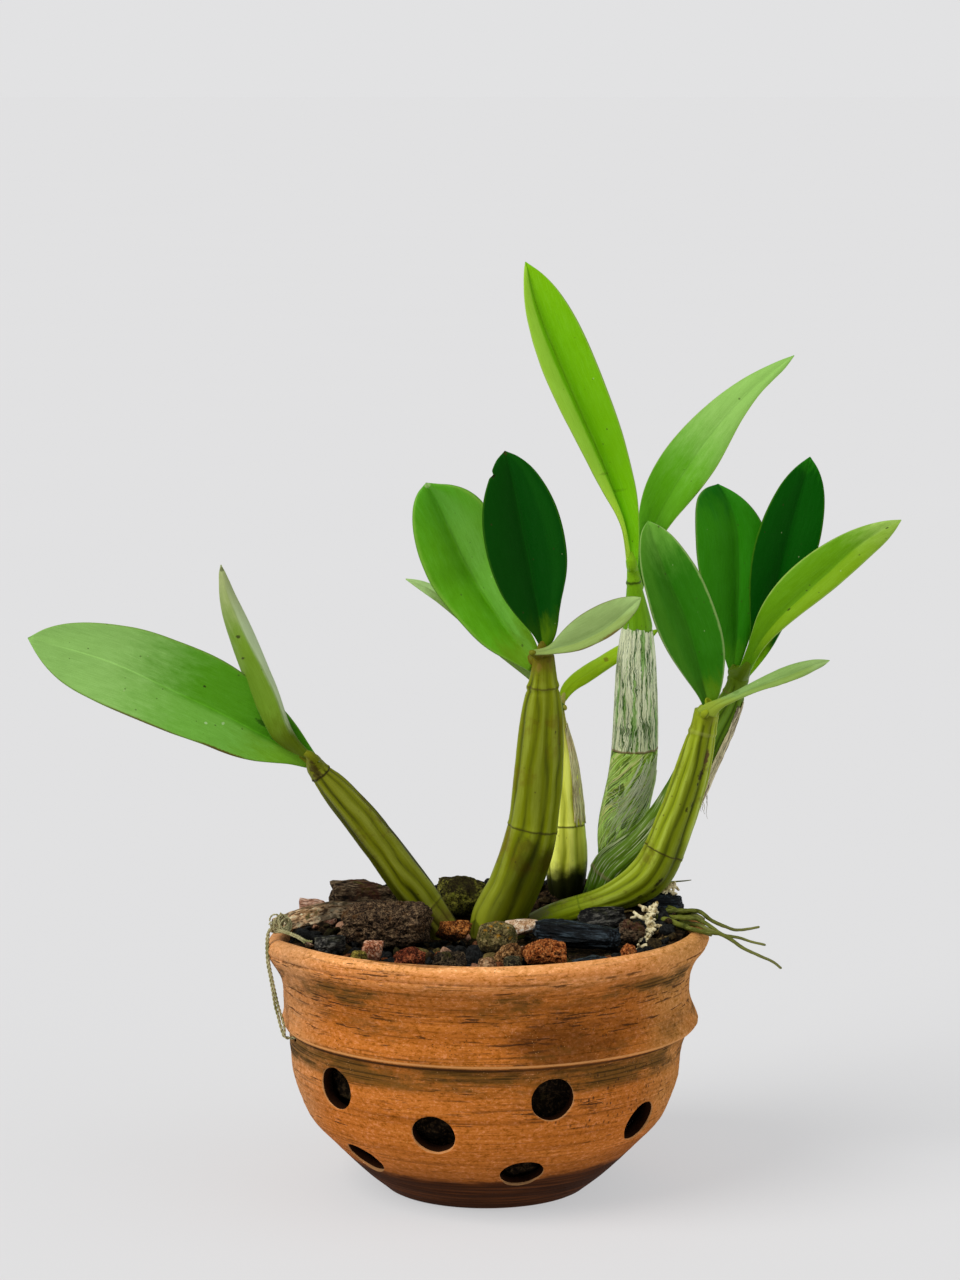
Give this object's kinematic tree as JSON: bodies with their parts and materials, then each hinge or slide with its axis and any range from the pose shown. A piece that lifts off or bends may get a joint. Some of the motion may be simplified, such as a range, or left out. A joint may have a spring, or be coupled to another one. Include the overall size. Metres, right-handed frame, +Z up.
{
  "type": "potted orchid plant",
  "caption": "Epiphytic orchid with ribbed pseudobulbs and leathery leaves, rooted in bark, charcoal and lava rock in a wide perforated terracotta bowl pot.",
  "frame": {"origin": "centre of the pot's flat foot, on the surface the pot stands on", "axes": "+Z up, +X to the right and -Y towards the viewer in the reference view; the pot's axis is Z and the plant leans mostly to -X and +X"},
  "size_m": [0.3908, 0.1998, 0.4192],
  "materials": {
    "terracotta": "matte",
    "twine": "matte",
    "growing_mix": "matte",
    "rhizome": "matte",
    "bulb": "satin",
    "dry_sheath": "matte",
    "leaf": "satin",
    "root": "satin",
    "dry_root": "matte",
    "bark": "matte",
    "charcoal": "matte",
    "lava_rock": "matte",
    "pebble": "matte",
    "clay_shard": "matte"
  },
  "bodies": {
    "root": {"aerial_root_1": "root", "aerial_root_2": "root", "aerial_root_3": "root", "aerial_root_4": "root", "bark_chunk_right": "bark", "bark_slab_rear": "bark", "bark_strip_on_rim": "bark", "charcoal_burnt": "charcoal", "charcoal_left": "charcoal", "charcoal_rear_right": "charcoal", "charcoal_stick": "charcoal", "charcoal_strip": "charcoal", "chip_pale": "clay_shard", "chip_pink": "lava_rock", "chip_red": "lava_rock", "clay_pot": "terracotta", "clay_shard": "clay_shard", "dry_roots_front": "dry_root", "dry_roots_rear": "dry_root", "growing_mix": "growing_mix", "husk_block": "bark", "lava_brown": "lava_rock", "lava_dark": "lava_rock", "lava_orange": "lava_rock", "lava_orange_cube": "lava_rock", "lava_red": "lava_rock", "leaf_10_right_rear": "leaf", "leaf_11_right_dark": "leaf", "leaf_12_right_long": "leaf", "leaf_13_front_green": "leaf", "leaf_14_front_small": "leaf", "leaf_1_left_broad": "leaf", "leaf_2_left_upright": "leaf", "leaf_3_middle_left": "leaf", "leaf_4_middle_dark": "leaf", "leaf_5_middle_small": "leaf", "leaf_6_back_left": "leaf", "leaf_7_back_right": "leaf", "leaf_8_tall_left": "leaf", "leaf_9_tall_right": "leaf", "moss_chunk_rear": "bark", "pebble_dark": "pebble", "pebble_mossy": "pebble", "pebble_small_front": "pebble", "pebble_yellow_green": "pebble", "pseudobulb_1_left": "bulb", "pseudobulb_2_middle": "bulb", "pseudobulb_3_rear": "bulb", "pseudobulb_4_tall": "bulb", "pseudobulb_5_right_rear": "bulb", "pseudobulb_6_front": "bulb", "rhizome": "rhizome", "sheath_3": "dry_sheath", "sheath_4_lower": "dry_sheath", "sheath_4_upper": "dry_sheath", "sheath_5": "dry_sheath", "tie_twine": "twine"}
  },
  "joints": []
}
